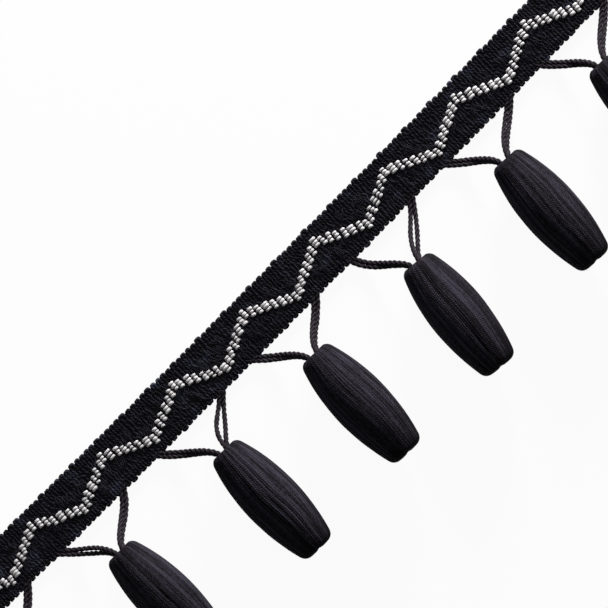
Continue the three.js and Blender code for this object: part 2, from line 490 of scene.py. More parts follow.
@dataclass
class Heading:
    """The woven tape: thick doubled weft cords that turn at both edges, over a thin woven ground."""

    seed: int = 7
    pick: float = 3.26  # the length of tape that one weft cord takes up, on average
    width: float = 25.6  # over the ordinary turns of the weft cords
    bow: float = 1.0  # how far the tape's lie curves over bow_span on each side
    bow_span: float = 160.0
    fuller_every: float = 5.12  # one fuller weft cord in this many, on average
    fuller_first: float = 0.35  # where their count starts, from the middle cord
    fuller_share: float = 1.27  # how much more of the tape a fuller cord takes up
    uneven_share: float = 0.05  # how much the others differ
    proud: float = 0.55  # how far past that width the solid's turns stand out at most
    turn_stand: Span = (0.34, 0.62)  # of an ordinary and a fuller turn, past that width
    turn_uneven: Span = (-0.22, 0.16)
    drawn_in: float = 0.1  # how much less the turns stand out on the beads' edge
    foot_room: float = 6.0  # a turn near a leg's foot isn't fuller on the beads' edge
    level: float = 1.2  # the height of the cords' middle
    turn_depth: float = 0.42  # from the end of a cord's straight part to the middle of its turn
    turn_blunt: float = 0.55  # 1 is a round turn, and less is a flatter one
    band: float = 4.4  # the width of each edge where the cords are bound tight
    loosened: float = 2.2  # the distance over which they come loose inside it
    bound_lay: float = 6.5  # the length of one twist where a cord is bound, and where it lies loose
    loose_lay: float = 10.0
    held: float = 0.25  # how much a bound cord wanders, of what a loose one does
    strand_wide: float = 0.37  # from a strand's middle to the middles of its plies
    strand_high: float = 0.68
    slant: float = 0.35  # how far a cord leans along the tape
    strand_sway: Span = (0.3, 5.0)  # how far a strand wanders, and how long its waves are
    strands_apart: float = 40.0  # how far on in those waves the second strand is
    ply_sway: Span = (0.34, 3.2)
    ply_turn: Span = (0.55, 7.0)  # how far a ply wanders round its strand, as an angle
    ply_radius: float = 0.47
    ply_drawn: float = 0.12  # how much thinner a ply is where it lies loose
    ply_sides: int = 4
    ply_tones: Span = (0.1, 0.9)
    plies: int = 4
    bound_rows: int = 9  # points along a strand at each edge, over the middle and round a turn
    loose_rows: int = 17
    turn_rows: int = 5
    weft_pieces: int = 3
    ground_inset: float = 0.9  # how far the woven ground stays inside the cords' turns
    ground_short: float = 0.4  # and inside the cut ends
    ground_thick: float = 1.0
    ground_rows: int = 120
    # the ground is the tape's own, and its tone, darker than the cords' average, is painted shade in the gaps
    # between them
    ground_tone: float = 0.3
    rng: np.random.Generator = field(init=False)
    low: Array = field(init=False)
    high: Array = field(init=False)
    edges: Array = field(init=False)
    numbers: Array = field(init=False)

    def __post_init__(self) -> None:
        """Divides the tape's length among its weft cords."""
        self.low, self.high = node_box("heading")
        self.rng = np.random.default_rng(self.seed)
        count = round((self.high[0] - self.low[0]) / self.pick)
        self.numbers = np.arange(count) - (count - 1) // 2
        share = np.where(self._fuller(self.numbers), self.fuller_share, 1.0)
        share = share + self.rng.uniform(-self.uneven_share, self.uneven_share, count)
        share = share / share.sum() * (self.high[0] - self.low[0])
        self.edges = self.low[0] + np.concatenate([[0], np.cumsum(share)])

    def _fuller(self, number: int | Array) -> bool | Array:
        """Says whether a weft cord is one of the fuller ones."""
        count = np.round((number - self.fuller_first) / self.fuller_every)
        return np.round(self.fuller_first + count * self.fuller_every) == number

    def middle(self, x: float | Array) -> float | Array:
        """Returns the tape's middle line at a place along it."""
        return self.low[1] + self.proud + self.width / 2 + self.bow * (x / self.bow_span) ** 2

    def cords(self) -> Iterator[tuple[int, float, float]]:
        """Gives each weft cord's number, its place along the tape and the length of tape it takes up."""
        for number, start, end in zip(self.numbers, self.edges[:-1], self.edges[1:]):
            yield int(number), (start + end) / 2, end - start

    def _reach(self, number: int, side: int, x: float, feet: list[float]) -> float:
        """Says how far from the middle line a weft cord turns.

        Args:
            number: The cord's number.
            side: 1 for the plain edge, -1 for the beads' edge.
            x: Where it lies.
            feet: Where the legs leave the beads' edge.

        Returns:
            The distance to the outside of its turn.
        """
        beside = side < 0 and any(abs(foot - x) < self.foot_room for foot in feet)
        stand = self.turn_stand[int(self._fuller(number) and not beside)]
        return self.width / 2 + stand - self.drawn_in * (side < 0) + self.rng.uniform(*self.turn_uneven)

    def _loop(self, wide: float, top: float, bottom: float) -> tuple[Array, Array]:
        """Draws the closed loop of one weft cord's two strands.

        Args:
            wide: The length of tape that it takes up.
            top: How far it reaches on the plain edge.
            bottom: How far it reaches on the beads' edge.

        Returns:
            Its points from the middle of the cord, and how loose it lies at each.
        """
        half, inset = wide / 4, self.strand_wide + self.ply_radius + self.turn_depth
        inner = self.width / 2 - self.band
        start, end = inset - bottom, top - inset
        rows = np.concatenate([
            np.linspace(start, -inner, self.bound_rows, endpoint=False),
            np.linspace(-inner, inner, self.loose_rows, endpoint=False),
            np.linspace(inner, end, self.bound_rows + 1),
        ])
        arc = np.linspace(0, math.pi, self.turn_rows + 2)[1:-1]
        across = -half * np.sign(np.cos(arc)) * np.abs(np.cos(arc)) ** self.turn_blunt
        out = self.turn_depth * np.sin(arc) ** self.turn_blunt
        over = np.stack([across, end + out], -1)
        under = np.stack([-across, start - out], -1)
        up = np.stack([np.full(len(rows), -half), rows], -1)
        points = np.concatenate([up, over, up[::-1] * [-1, 1], under])
        return points, ease(inner - np.abs(points[:, 1]), 0, self.loosened)

    def _twist(self, line: Array, loose: Array) -> Array:
        """Works out how far a strand has turned at each point of its loop, in whole turns over all.

        Args:
            line: The loop's points.
            loose: How loose it lies at each.

        Returns:
            The angle at each point.
        """
        step = np.linalg.norm(line - np.roll(line, 1, 0), axis=1)
        rate = 1 / self.bound_lay + loose * (1 / self.loose_lay - 1 / self.bound_lay)
        turned = np.cumsum(step * rate)
        return TURN * turned * round(turned[-1]) / turned[-1]

    def weave(self, feet: list[float]) -> list[bpy.types.Object]:
        """Lays the weft cords.

        Args:
            feet: Where the legs leave the beads' edge.

        Returns:
            The pieces that they are made in, one for each stretch of the tape.
        """
        cords = list(self.cords())
        pieces = []
        for number, part in enumerate(np.array_split(np.arange(len(cords)), self.weft_pieces), 1):
            skein = Skein()
            for index in part:
                self._lay_cord(skein, *cords[index], feet)
            pieces.append(skein.build(f"heading_weft_{number}", Finish.WEFT))
        return pieces

    def _lay_cord(self, skein: Skein, number: int, x: float, wide: float, feet: list[float]) -> None:
        """Lays one weft cord, two strands of soft plies that turn at both edges.

        Args:
            skein: Where it goes.
            number: The cord's number.
            x: Its place along the tape.
            wide: The length of tape that it takes up.
            feet: Where the legs leave the beads' edge.
        """
        reach = [self._reach(number, side, x, feet) for side in (1, -1)]
        plan, loose = self._loop(wide, *reach)
        turned = self._twist(plan, loose)
        swell = wide / self.pick
        place = plan[:, 1] + self.strands_apart * (plan[:, 0] > 0)
        slant = self.rng.normal(0, self.slant) * np.sin(plan[:, 1] / self.width * TURN)
        sway = Wander(self.rng, *self.strand_sway).along(place) + slant
        ahead = plan - np.roll(plan, 2, 0)  # read a little late, so that the plies draw round the turns
        normal = unit(ahead[:, ::-1] * [1, -1])
        free = self.held + (1 - self.held) * loose
        for ply in range(self.plies):
            angle = turned + TURN * ply / self.plies + Wander(self.rng, *self.ply_turn).along(place)
            stray = free * (sway + Wander(self.rng, *self.ply_sway).along(place))
            out = self.strand_wide * swell * np.cos(angle)
            xy = plan + out[:, None] * normal
            xy[:, 0] += stray
            z = self.level + self.strand_high * np.sin(angle)
            line = np.column_stack([x + xy[:, 0], self.middle(x + xy[:, 0]) + xy[:, 1], z])
            radius = self.ply_radius * swell ** 0.5 * (1 - self.ply_drawn * loose)
            skein.lay(line, radius, self.ply_sides, closed=True, tone=self.rng.uniform(*self.ply_tones))

    def ground(self) -> bpy.types.Object:
        """Makes the woven ground that the cords are beaten onto.

        Returns:
            The ground's thin sheet.
        """
        start, end = self.low[0] + self.ground_short, self.high[0] - self.ground_short
        x = np.linspace(start, end, self.ground_rows)
        line = np.column_stack([x, self.middle(x), np.full(len(x), self.level)])
        wide = self.width - 2 * self.ground_inset
        skein = Skein()
        skein.lay(line, wide / math.sqrt(2), 4, stretch=self.ground_thick / wide, tone=self.ground_tone,
                  roll=math.pi / 4)
        return skein.build("heading_ground", Finish.WEFT, smooth=False)


@dataclass
class Binding:
    """The fine warp threads that bind the weft cords at both edges of the tape."""

    heading: Heading
    insets: Span = (2.0, 3.5)  # of the two rows at an edge, from the ordinary turns
    radius: float = 0.14
    sides: int = 4
    step: float = 0.62  # between the points of a thread
    short: float = 0.2  # how far it ends inside the cut ends
    level: float = 1.8  # its height between two weft cords
    over: float = 0.42  # how much higher it passes over one
    sway: Span = (0.1, 9.0)  # how far it wanders, and how long its waves are
    tones: Span = (0.1, 0.4)

    def lay(self) -> bpy.types.Object:
        """Lays the threads, each of which passes over and under the weft cords' strands.

        Returns:
            The threads' piece.
        """
        heading, skein = self.heading, Skein()
        x = np.arange(heading.low[0] + self.short, heading.high[0] - self.short, self.step)
        cord = np.interp(x, heading.edges, np.arange(len(heading.edges)))
        for side in (-1, 1):
            for row, inset in enumerate(self.insets):
                dip = 0.5 - 0.5 * np.cos(2 * TURN * cord + math.pi * row)
                stray = Wander(heading.rng, *self.sway).along(x)
                y = heading.middle(x) + side * (heading.width / 2 - inset) + stray
                line = np.column_stack([x, y, self.level + self.over * dip])
                skein.lay(line, self.radius, self.sides, keep=ACROSS, tone=heading.rng.uniform(*self.tones))
        return skein.build("heading_binding", Finish.WEFT)


@dataclass
class LooseFibres:
    """The weft's loose fibres, brushed up in patches over the middle of the tape."""

    heading: Heading
    patches: int = 120
    inside: float = 5.0  # how far the first and the last patch lie from the cut ends
    uneven: float = 2.5  # how unevenly the patches are spread
    reach: float = 6.2  # how far from the middle line they lie
    slant: float = 0.35  # how far the fibres of a patch lean along the tape
    fibres: tuple[int, int] = (6, 15)  # in a patch, up to one less than the second
    spread: Span = (1.3, 1.2)  # of a patch's fibres, along the tape and across it
    half_length: Span = (1.2, 2.8)
    points: int = 8
    curl: Span = (0.25, 1.6)  # how far a fibre curls, and how long its waves are
    level: float = 2.3
    rise: Span = (0.1, 0.4)  # how far its middle stands up
    dip: float = 0.45  # how far its ends dip
    radius: Span = (0.06, 0.11)

    def lay(self) -> bpy.types.Object:
        """Lays the fibres, patch by patch.

        Returns:
            The fibres' piece.
        """
        heading, rng, skein = self.heading, self.heading.rng, Skein()
        places = np.linspace(heading.low[0] + self.inside, heading.high[0] - self.inside, self.patches)
        for x in places + rng.normal(0, self.uneven, self.patches):
            y, slant = rng.uniform(-self.reach, self.reach), rng.normal(0, self.slant)
            for _ in range(rng.integers(*self.fibres)):
                along, across = rng.normal(0, self.spread[0]), rng.normal(0, self.spread[1])
                self._lay_fibre(skein, x + along, y + across, slant)
        return skein.build("heading_fuzz", Finish.FUZZ)

    def _lay_fibre(self, skein: Skein, x: float, y: float, slant: float) -> None:
        """Lays one loose fibre.

        Args:
            skein: Where it goes.
            x: Its middle along the tape.
            y: Its middle across the tape, from the middle line.
            slant: How far it leans along the tape.
        """
        rng = self.heading.rng
        along = np.linspace(-1, 1, self.points)
        reach = rng.uniform(*self.half_length)
        curl = Wander(rng, *self.curl)
        place = x + slant * reach * along + curl.along(along)
        rise = rng.uniform(*self.rise) * (1 - along ** 2) - self.dip * along ** 4
        line = np.column_stack([place, self.heading.middle(place) + y + reach * along, self.level + rise])
        skein.lay(line, rng.uniform(*self.radius), 3, tone=rng.uniform())


@dataclass
class Zigzag:
    """Ivory warp floats, three to a weft cord, that step one row up or down from cord to cord."""

    heading: Heading
    rows: int = 10  # of warp threads that float somewhere
    row_pitch: float = 1.6
    off_middle: float = -0.25  # where the middle of the rows lies across the tape
    together: int = 3  # floats over one cord
    climb: int = 7  # cords from a trough to a peak
    peak: int = 11  # the number of a cord where the zigzag peaks
    lean: float = 0.07  # how much the floats over one cord slant
    slew: float = 0.2  # how far a float lies along the tape from the one below it
    off_place: Span = (0.15, 0.16)  # how far those over one cord lie from their place, along and across
    stray: float = 0.09  # how far each one does on its own
    gap: float = 0.85  # how much shorter a float's line is than its cord is wide
    lengths: Span = (0.85, 1.12)
    heights: Span = (0.8, 1.15)
    widths: Span = (0.92, 1.05)
    half_width: float = 0.74
    half_height: float = 0.42
    at_ends: float = 0.8  # how thick a float still is where it goes in
    crown: float = 2.5  # the height of its middle line over its cord
    crown_uneven: float = 0.06
    root: float = 1.35  # and where it goes in
    plump: Span = (3.2, 0.6)  # the powers that shape its rise, for a flat top and steep ends
    points: int = 11
    crowding: float = 0.7  # less than 1 sets more of those points near its ends
    sides: int = 10
    tones: Span = (0.2, 0.9)
    stub: float = 1.1  # how far the warp's cut ends reach
    stub_lengths: Span = (0.5, 1.1)
    stub_inside: float = 2.2
    stub_height: float = 1.25
    stub_stray: Span = (0.12, 0.1)  # across the tape and up
    stub_radius: float = 0.4
    stub_tones: Span = (0.1, 0.6)
    stub_points: int = 6
    stub_sides: int = 6

    def _top_row(self, number: int) -> int:
        """Returns the highest row that floats over a weft cord."""
        step = (number - self.peak) % (2 * self.climb)
        return self.rows - 1 - min(step, 2 * self.climb - step)

    def _across(self, row: int) -> float:
        """Returns how far a row lies from the tape's middle line."""
        return (row - (self.rows - 1) / 2) * self.row_pitch + self.off_middle

    def weave(self) -> bpy.types.Object:
        """Lays the floats, and the cut ends of their warp threads.

        Returns:
            The zigzag's piece.
        """
        skein = Skein()
        rng = np.random.default_rng(self.heading.seed + 1)
        for number, x, wide in self.heading.cords():
            top = self._top_row(number)
            lean, slew = rng.normal(0, self.lean), rng.normal(0, self.slew)
            x, off = x + rng.normal(0, self.off_place[0]), rng.normal(0, self.off_place[1])
            for row in range(top - self.together + 1, top + 1):
                place = x + slew * (row - top + self.together // 2)
                self._lay_float(skein, rng, place, self._across(row) + off, wide - self.gap, lean)
        self._lay_ends(skein, rng)
        return skein.build("zigzag_floats", Finish.IVORY)

    def _lay_float(self, skein: Skein, rng: np.random.Generator, x: float, y: float, long: float,
                   lean: float) -> None:
        """Lays one plump float.

        Args:
            skein: Where it goes.
            rng: The random numbers.
            x: Its middle along the tape.
            y: Its middle across the tape, from the middle line.
            long: Its length.
            lean: How far it slants.
        """
        share = np.linspace(-1, 1, self.points)
        share = np.sign(share) * np.abs(share) ** self.crowding
        half = long / 2 * rng.uniform(*self.lengths)
        high = rng.uniform(*self.heights)
        flat, steep = self.plump
        rise = np.clip(1 - np.abs(share) ** flat, 0, 1) ** steep
        place = x + rng.normal(0, self.stray) + half * share
        across = y + rng.normal(0, self.stray) + lean * half * share
        z = self.root + (self.crown + rng.normal(0, self.crown_uneven) - self.root) * rise
        line = np.column_stack([place, self.heading.middle(place) + across, z])
        radius = self.half_height * high * (self.at_ends + (1 - self.at_ends) * rise)
        stretch = self.half_width * rng.uniform(*self.widths) / self.half_height
        skein.lay(line, radius, self.sides, keep=ACROSS, stretch=stretch, tone=rng.uniform(*self.tones))

    def _lay_ends(self, skein: Skein, rng: np.random.Generator) -> None:
        """Lays the short ends of the warp threads where the tape is cut.

        Args:
            skein: Where they go.
            rng: The random numbers.
        """
        share = np.arange(self.stub_points) / (self.stub_points - 1)
        aside, rise = self.stub_stray
        for side, cut in ((-1, self.heading.low[0]), (1, self.heading.high[0])):
            for row in range(self.rows):
                reach = self.stub * rng.uniform(*self.stub_lengths)
                x = cut + side * np.linspace(-self.stub_inside, reach, self.stub_points)
                y = self.heading.middle(x) + self._across(row) + rng.normal(0, aside) * share
                line = np.column_stack([x, y, self.stub_height + rng.normal(0, rise) * share])[::side]
                tone = rng.uniform(*self.stub_tones)
                skein.lay(line, self.stub_radius, self.stub_sides, keep=ACROSS, tone=tone)


@dataclass(frozen=True)
class Leg:
    """One leg of a V: two cords side by side.

    foot is where it leaves the tape, from the middle of the V, steeper is how many degrees more steeply it
    leaves than straight to the bead, in_bead is how far from the bead's axis its cords go in, and slit is
    the most daylight between them.
    """

    foot: float
    steeper: float
    in_bead: float
    slit: float = 0.0


@dataclass(frozen=True)
class Drop:
    """How one bead hangs.

    reach is from the tape's middle line to the bead's top end, shift moves the bead along the tape from the
    middle of its V, and lean turns its bottom end towards +X in degrees.
    """

    reach: float
    shift: float
    lean: float
    length: float
    left: Leg
    right: Leg

    def leg(self, side: int) -> Leg:
        """Returns the left leg for -1 and the right one for 1."""
        return self.left if side < 0 else self.right

    def axes(self) -> tuple[Array, Array]:
        """Returns the direction across the bead, and along its axis out of its top end."""
        lean = math.radians(self.lean)
        return np.array([math.cos(lean), math.sin(lean), 0]), np.array([-math.sin(lean), math.cos(lean), 0])


DROPS = (
    Drop(29.6, 0.4, 0.8, 62.3, Leg(-18.9, -4, 2.2), Leg(18.3, -2, 2)),
    Drop(29.5, -1.3, 0.2, 62.3, Leg(-19.4, -5.3, 1.75, slit=0.9), Leg(17.6, 6.5, 1.75)),
    Drop(31, 2.5, -0.9, 62.5, Leg(-18.3, 0.6, 2.6), Leg(18.5, -11, 1.75, slit=2.4)),
    Drop(29.3, 0, -1.2, 62.2, Leg(-18.7, -4.9, 2.7), Leg(17.4, -1.9, 1.75)),
    Drop(33.1, 0, -5.9, 61.3, Leg(-18.6, 15, 2.4), Leg(17.9, -0.9, 1.75, slit=1.5)),
    Drop(29, -0.3, -3.3, 62.2, Leg(-18.3, -6.5, 2.55), Leg(19.2, -4.1, 1.75, slit=0.3)),
    Drop(28.9, -1, -1.5, 62.3, Leg(-17.7, -4.3, 2.15), Leg(19.4, -1.7, 2.5, slit=0.3)),
)
PITCH = 61.94  # from the middle of one V to the middle of the next
AXIS_HEIGHT = 12.75  # of a bead, over what the trim lies on


def drop_place(index: int) -> float:
    """Returns where the middle of a drop's V lies along the tape."""
    return (index - (len(DROPS) - 1) / 2) * PITCH


class Strand(Enum):
    """The four strands of a drop: the leg of the V, and 1 for the outer strand of its leg."""

    LEFT_OUTER = (-1, 1)
    LEFT_INNER = (-1, -1)
    RIGHT_INNER = (1, -1)
    RIGHT_OUTER = (1, 1)

    @property
    def leg(self) -> int:
        """Returns -1 for the left leg and 1 for the right one."""
        return self.value[0]

    @property
    def order(self) -> int:
        """Returns 1 for the outer strand and -1 for the inner one."""
        return self.value[1]


@dataclass
class Cord:
    """One twisted cord, from inside the tape's edge to inside the bead."""

    heading: Heading
    index: int
    strand: Strand
    radius: float = 1.2
    plies: int = 3
    lay: float = 7.6  # the length of one twist
    bead_phase: float = 0.37  # how far round the twist starts, as turns from one bead or leg to the next
    leg_phase: float = 0.21
    twist_sway: Span = (0.12, 6.0)  # how far a ply wanders round the cord, and how long its waves are
    thickness_sway: Span = (0.03, 7.0)
    ply_radius: float = 0.6
    ply_sides: int = 7
    ply_tones: Span = (0.1, 0.9)
    in_tape: float = 4.0
    in_bead: float = 8.0
    curve_in_bead: float = 2.7  # how deep in the bead its curve ends, and it goes on straight
    height: float = 1.2  # where it leaves the tape
    pair_spread: float = 0.95  # from the leg's middle line to each strand's
    turn_under: float = 72.0  # how far the pair turns over from the tape to the bead, in degrees
    edge_clear: float = 1.05  # how far past the tape's ordinary width it is seen to leave
    tape_handle: float = 11.0  # how far the leg's curve keeps to its direction at each end
    bead_handle: float = 7.5
    curve_points: int = 49
    step: float = 0.4  # between the points of the finished line
    seed: int = 100

    def _leg(self) -> tuple[Array, Array]:
        """Draws the leg's middle line from the tape to just inside the bead.

        Returns:
            The four handles of its curve, from the middle of the V, and the direction out of the bead.
        """
        drop, side = DROPS[self.index], self.strand.leg
        leg = drop.leg(side)
        across, out = drop.axes()
        end = np.array([drop.shift, self.heading.middle(0) - drop.reach, AXIS_HEIGHT])
        end += side * leg.in_bead * across - self.curve_in_bead * out
        middle = self.heading.middle(drop_place(self.index) + leg.foot)
        edge = middle - self.heading.width / 2 - self.edge_clear
        foot = np.array([leg.foot, edge, self.height])
        steep = math.atan2(edge - end[1], abs(leg.foot - end[0])) + math.radians(leg.steeper)
        leave = np.array([-side * math.cos(steep), -math.sin(steep), 0])
        return np.array([foot, foot + leave * self.tape_handle, end + out * self.bead_handle, end]), out

    def route(self) -> Array:
        """Draws the strand's own line beside its leg's, and on into the bead.

        Returns:
            Its points, evenly spaced, the first of them where it leaves the tape.
        """
        handles, out = self._leg()
        side, order = self.strand.leg, self.strand.order
        t = np.linspace(0, 1, self.curve_points)[:, None]
        weights = np.concatenate([(1 - t) ** 3, 3 * t * (1 - t) ** 2, 3 * t * t * (1 - t), t ** 3], 1)
        rates = np.concatenate([(1 - t) ** 2, 2 * t * (1 - t), t * t], 1)
        ahead = unit(rates @ np.diff(handles, axis=0))
        level = unit(ahead * [1, 1, 0])
        outward = np.stack([-side * level[:, 1], side * level[:, 0], 0 * t[:, 0]], 1)
        below = side * np.cross(outward, ahead)
        turned = math.radians(self.turn_under) * ease(t, 0, 1)
        slit = DROPS[self.index].leg(side).slit
        apart = self.pair_spread * np.cos(turned) + slit / 2 * np.sin(math.pi * t) ** 2
        to_edge = self.pair_spread * np.abs(level[:, :1] / level[:, 1:2]) * (1 - t) ** 2
        line = weights @ handles + order * apart * outward - order * to_edge * level
        line += order * self.pair_spread * np.sin(turned) * below
        inside = line[-1] - np.array([0.5, 1])[:, None] * (self.in_bead - self.curve_in_bead) * out
        line = np.concatenate([line, inside]) + drop_place(self.index) * ALONG
        return self._evenly(line)

    def _evenly(self, line: Array) -> Array:
        """Spaces a line's points evenly.

        Args:
            line: The points.

        Returns:
            Points about a step apart on the same line.
        """
        far = np.concatenate([[0], np.cumsum(np.linalg.norm(np.diff(line, axis=0), axis=1))])
        places = np.linspace(0, far[-1], round(far[-1] / self.step) + 1)
        return np.column_stack([np.interp(places, far, line[:, axis]) for axis in range(3)])

    def make(self) -> bpy.types.Object:
        """Twists the cord's plies along its route.

        Returns:
            The cord's piece.
        """
        route = self.route()
        start = route[0] - (route[1] - route[0]) * np.arange(round(self.in_tape / self.step), 0, -1)[:, None]
        line = np.concatenate([start, route])
        strands = list(Strand)
        rng = np.random.default_rng(self.seed + len(strands) * self.index + strands.index(self.strand))
        ahead = unit(np.gradient(line, axis=0))
        first = unit(UP - ahead[:, 2:] * ahead)
        second = np.cross(ahead, first)
        far = np.arange(1 - len(line), 1) * self.step
        skein = Skein()
        # Both strands of a leg start alike, so that their plies nestle.
        phase = TURN * (self.bead_phase * self.index + self.leg_phase * self.strand.leg)
        uneven = 1 + Wander(rng, *self.thickness_sway).along(far)
        for ply in range(self.plies):
            angle = phase + TURN * (far / self.lay + ply / self.plies)
            angle = angle + Wander(rng, *self.twist_sway).along(far)
            away = (self.radius - self.ply_radius) * uneven
            place = line + away[:, None] * (np.cos(angle)[:, None] * first + np.sin(angle)[:, None] * second)
            skein.lay(place, self.ply_radius * uneven, self.ply_sides, tone=rng.uniform(*self.ply_tones))
        name = self.strand.name.lower()
        piece = skein.build(f"twisted_cord_{self.index + 1}_{name}", Finish.CORD)
        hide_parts(f"cord_{self.index + 1}_{name}")
        return piece


@dataclass(frozen=True)
class Wrapping:
    """The threads wound over a bead from end to end: their widths, heights, grooves and tones, with painted
    shade at the ends, in the grooves and on the sunk threads.
    """

    threads: int = 88
    widths: Span = (0.5, 1.6)  # before they are scaled to fill the girth
    tones: Span = (0.0, 1.3)
    columns: int = 5  # corners of the mesh to each thread
    tone_sway: Span = (0.32, 22.0)  # how far a thread's tone wanders, and how long its waves are
    height_sway: Span = (0.05, 30.0)
    groove: float = 0.3  # how deep the grooves between threads are
    groove_least: float = 0.4  # of that, and how much more the deepest are
    groove_more: float = 1.7
    groove_rarity: int = 4  # the power that leaves few of them deep
    groove_narrow: float = 0.55  # the power that makes them narrower than the threads
    # painted shade in the grooves between the threads
    groove_shade: float = 0.6
    groove_sway: Span = (0.8, 1.6)  # a groove's depth at a thread's plain tone, and how much more per tone
    groove_limits: Span = (0.1, 1.7)
    sunk_share: float = 0.24  # of the threads, which lie deeper than the rest, with painted shade on them
    sunk_depth: float = 0.15
    # painted shade on the sunk threads
    sunk_shade: float = 0.6
    sunk_sway: Span = (0.75, 1.5)
    sunk_limits: Span = (0.0, 1.3)
    laps: int = 8  # layers of wrapping, each of which starts with a step up onto the last
    lap_step: float = 0.15
    lap_uneven: Span = (0.3, 1.2)
    lap_level: float = 0.3  # the share of a step that stands over the bead's own surface
    end_shade: float = 0.7  # painted shade: how much darker the threads are made near the top end
    foot_shade: float = 1.6  # how many times more they do at the bottom end
    end_shade_reach: Span = (5.0, 12.0)  # how far down from the top and up from the bottom
    finest: float = 0.15  # the least share of their relief that they keep where they are gathered

    def _thread_sway(self, rng: np.random.Generator, sway: Span, down: Array) -> Array:
        """Draws how each thread wanders on its own.

        Args:
            rng: The random numbers.
            sway: How far a thread wanders, and how long its waves are.
            down: The distance of each ring down the bead.

        Returns:
            The offset at each ring, a column for each corner of the mesh round it.
        """
        waves = [Wander(rng, *sway).along(down) for _ in range(self.threads)]
        return np.repeat(np.stack(waves, 1), self.columns, axis=1)

    def _lap_heights(self, rng: np.random.Generator, thread: Array) -> Array:
        """Draws how the layers of wrapping step up onto each other round the bead.

        Args:
            rng: The random numbers.
            thread: The number of the thread at each column of the mesh.

        Returns:
            How high each column stands.
        """
        starts = np.sort(rng.choice(self.threads, self.laps, replace=False))
        lap = np.searchsorted(starts, thread, side="right") - 1
        size = (np.roll(starts, -1) - starts)[lap] % self.threads
        share = ((thread - starts[lap]) % self.threads) / np.maximum(size, 1)
        uneven = rng.uniform(*self.lap_uneven, self.laps)[lap]
        return self.lap_step * (self.lap_level - share) * uneven

    def lay(self, rng: np.random.Generator, down: Array, length: float) -> tuple[Array, Array, Array]:
        """Works out how the threads lie on one bead.

        Args:
            rng: The random numbers.
            down: The distance of each ring down the bead.
            length: The bead's length.

        Returns:
            The angle of each column of the mesh, and the height and the tone, with its painted shade, of each
            of its corners.
        """
        width = rng.uniform(*self.widths, self.threads)
        start = np.concatenate([[0], np.cumsum(width)]) / width.sum()
        across = np.arange(self.columns) / self.columns
        angle = TURN * (start[:-1, None] + across * np.diff(start)[:, None]).ravel()
        thread = np.repeat(np.arange(self.threads), self.columns)
        fade = self._thread_sway(rng, self.tone_sway, down)
        hollow = np.tile(1 - np.sin(math.pi * across) ** self.groove_narrow, self.threads)
        rarity = rng.uniform(0, 1, self.threads)[thread] ** self.groove_rarity
        depth = self.groove * (self.groove_least + self.groove_more * rarity)
        plain, more = self.groove_sway
        depth = depth * np.clip(plain + more * fade, *self.groove_limits)
        plain, more = self.sunk_sway
        sunk = (rng.random(self.threads) < self.sunk_share)[thread]
        sunk = sunk * np.clip(plain + more * fade, *self.sunk_limits)
        stand = self._thread_sway(rng, self.height_sway, down) + self._lap_heights(rng, thread)
        top, bottom = self.end_shade_reach
        # painted shade that darkens the threads near the top and the bottom end
        painted_end_darkening = np.exp(-down / top) + self.foot_shade * np.exp((down - length) / bottom)
        tone = rng.uniform(*self.tones, self.threads)[thread] + fade
        tone = tone - self.end_shade * painted_end_darkening[:, None]
        # painted shade in the grooves and on the sunk threads
        tone = tone - self.groove_shade * hollow - self.sunk_shade * sunk
        return angle, stand - depth * hollow - self.sunk_depth * sunk, tone


